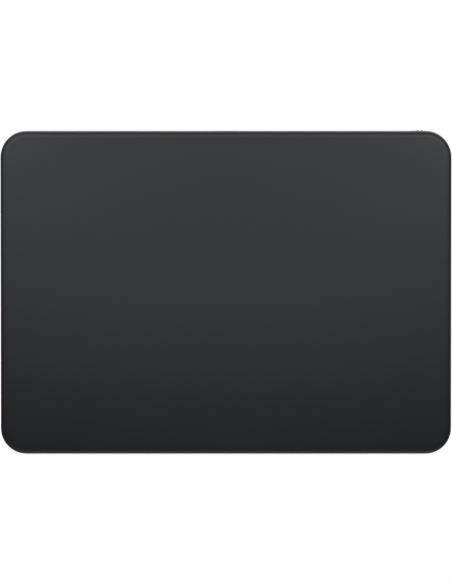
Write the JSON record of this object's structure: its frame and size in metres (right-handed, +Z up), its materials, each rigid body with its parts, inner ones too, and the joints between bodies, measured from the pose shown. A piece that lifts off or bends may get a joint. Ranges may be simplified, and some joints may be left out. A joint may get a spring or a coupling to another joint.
{
  "type": "trackpad",
  "caption": "Wedge-shaped wireless glass trackpad with a floating force-sensing touch plate, haptic engine, rear charging port and slide power switch.",
  "frame": {"origin": "on the desk surface under the middle of the case", "axes": "+X to the user's right, +Y to the rear edge with the port, +Z up"},
  "size_m": [0.16, 0.1153, 0.0109],
  "materials": {
    "case_metal": "fine bead-blasted black anodising",
    "cover_metal": "fine bead-blasted dark grey anodising",
    "foot_rubber": "matte moulded rubber",
    "seal_foam": "matte closed-cell foam",
    "dark_glass": "satin etched glass over a dark printed back",
    "bond_film": "clear adhesive film",
    "circuit_board": "satin solder mask",
    "chip_plastic": "matte moulded epoxy",
    "connector_plastic": "moulded nylon",
    "spring_steel": "rolled spring steel",
    "core_steel": "laminated silicon steel",
    "screw_steel": "plated steel",
    "clear_gel": "soft silicone gel",
    "gauge_film": "polyimide film",
    "flat_lead": "polyimide film with copper tracks",
    "copper_winding": "enamelled copper wire",
    "cell_pouch": "black wrapped pouch",
    "shield_tin": "tinned steel",
    "antenna_plastic": "moulded plastic",
    "antenna_copper": "copper foil",
    "coax_jacket": "smooth jacket",
    "port_steel": "satin stainless steel",
    "port_plastic": "moulded plastic",
    "contact_gold": "gold plating",
    "slider_plastic": "moulded acetal",
    "knob_black": "black anodised aluminium",
    "signal_green": "printed green film"
  },
  "bodies": {
    "case": {"enclosure": "case_metal", "bottom_cover": "cover_metal", "foot_front_left": "foot_rubber", "foot_front_right": "foot_rubber", "foot_rear_left": "foot_rubber", "foot_rear_right": "foot_rubber", "cover_seal": "seal_foam", "dust_gasket": "seal_foam", "battery_tape": "bond_film", "main_board": "circuit_board", "battery_circuit": "circuit_board", "port_board": "circuit_board", "switch_board": "circuit_board", "processor_chip": "chip_plastic", "power_chip": "chip_plastic", "board_connectors": "connector_plastic", "haptic_bracket": "spring_steel", "flexure_front_left": "spring_steel", "flexure_front_right": "spring_steel", "flexure_rear_left": "spring_steel", "flexure_rear_right": "spring_steel", "haptic_core": "core_steel", "cover_screws": "screw_steel", "flexure_screws": "screw_steel", "haptic_screws": "screw_steel", "board_screws": "screw_steel", "port_screws": "screw_steel", "switch_screws": "screw_steel", "strain_gauges": "gauge_film", "sensor_lead": "flat_lead", "touch_lead": "flat_lead", "haptic_lead": "flat_lead", "battery_lead": "flat_lead", "port_lead": "flat_lead", "switch_lead": "flat_lead", "haptic_coil_left": "copper_winding", "haptic_coil_centre": "copper_winding", "haptic_coil_right": "copper_winding", "battery_cell": "cell_pouch", "radio_shield": "shield_tin", "switch_housing": "shield_tin", "antenna_carrier": "antenna_plastic", "antenna_foil": "antenna_copper", "antenna_cable": "coax_jacket", "port_shell": "port_steel", "port_tongue": "port_plastic", "port_contacts": "contact_gold"},
    "force_pads": {"gel_pads": "clear_gel"},
    "touch_plate": {"touch_glass": "dark_glass", "glass_adhesive": "bond_film", "sensor_board": "circuit_board", "stiffener_plate": "spring_steel", "armature_bar": "core_steel", "touch_chips": "chip_plastic", "sensor_connector": "connector_plastic"},
    "power_switch": {"power_knob": "knob_black", "indicator_film": "signal_green", "switch_slider": "slider_plastic"}
  },
  "joints": [
    {"name": "pad_press", "type": "slide", "parent": "case", "child": "force_pads", "axis": [0, 0.0521, -0.9986], "range_m": [0, 0.00015], "stiffness_N_per_m": 8000, "springref_m": -0.0003, "deforming": ["flexure_front_left", "flexure_front_right", "flexure_rear_left", "flexure_rear_right", "dust_gasket"]},
    {"name": "haptic_shift", "type": "slide", "parent": "force_pads", "child": "touch_plate", "axis": [0, 0.9986, 0.0521], "range_m": [-0.0001, 0.0001], "stiffness_N_per_m": 8000},
    {"name": "power_slide", "type": "slide", "parent": "case", "child": "power_switch", "axis": [1, 0, 0], "range_m": [-0.002, 0]}
  ]
}
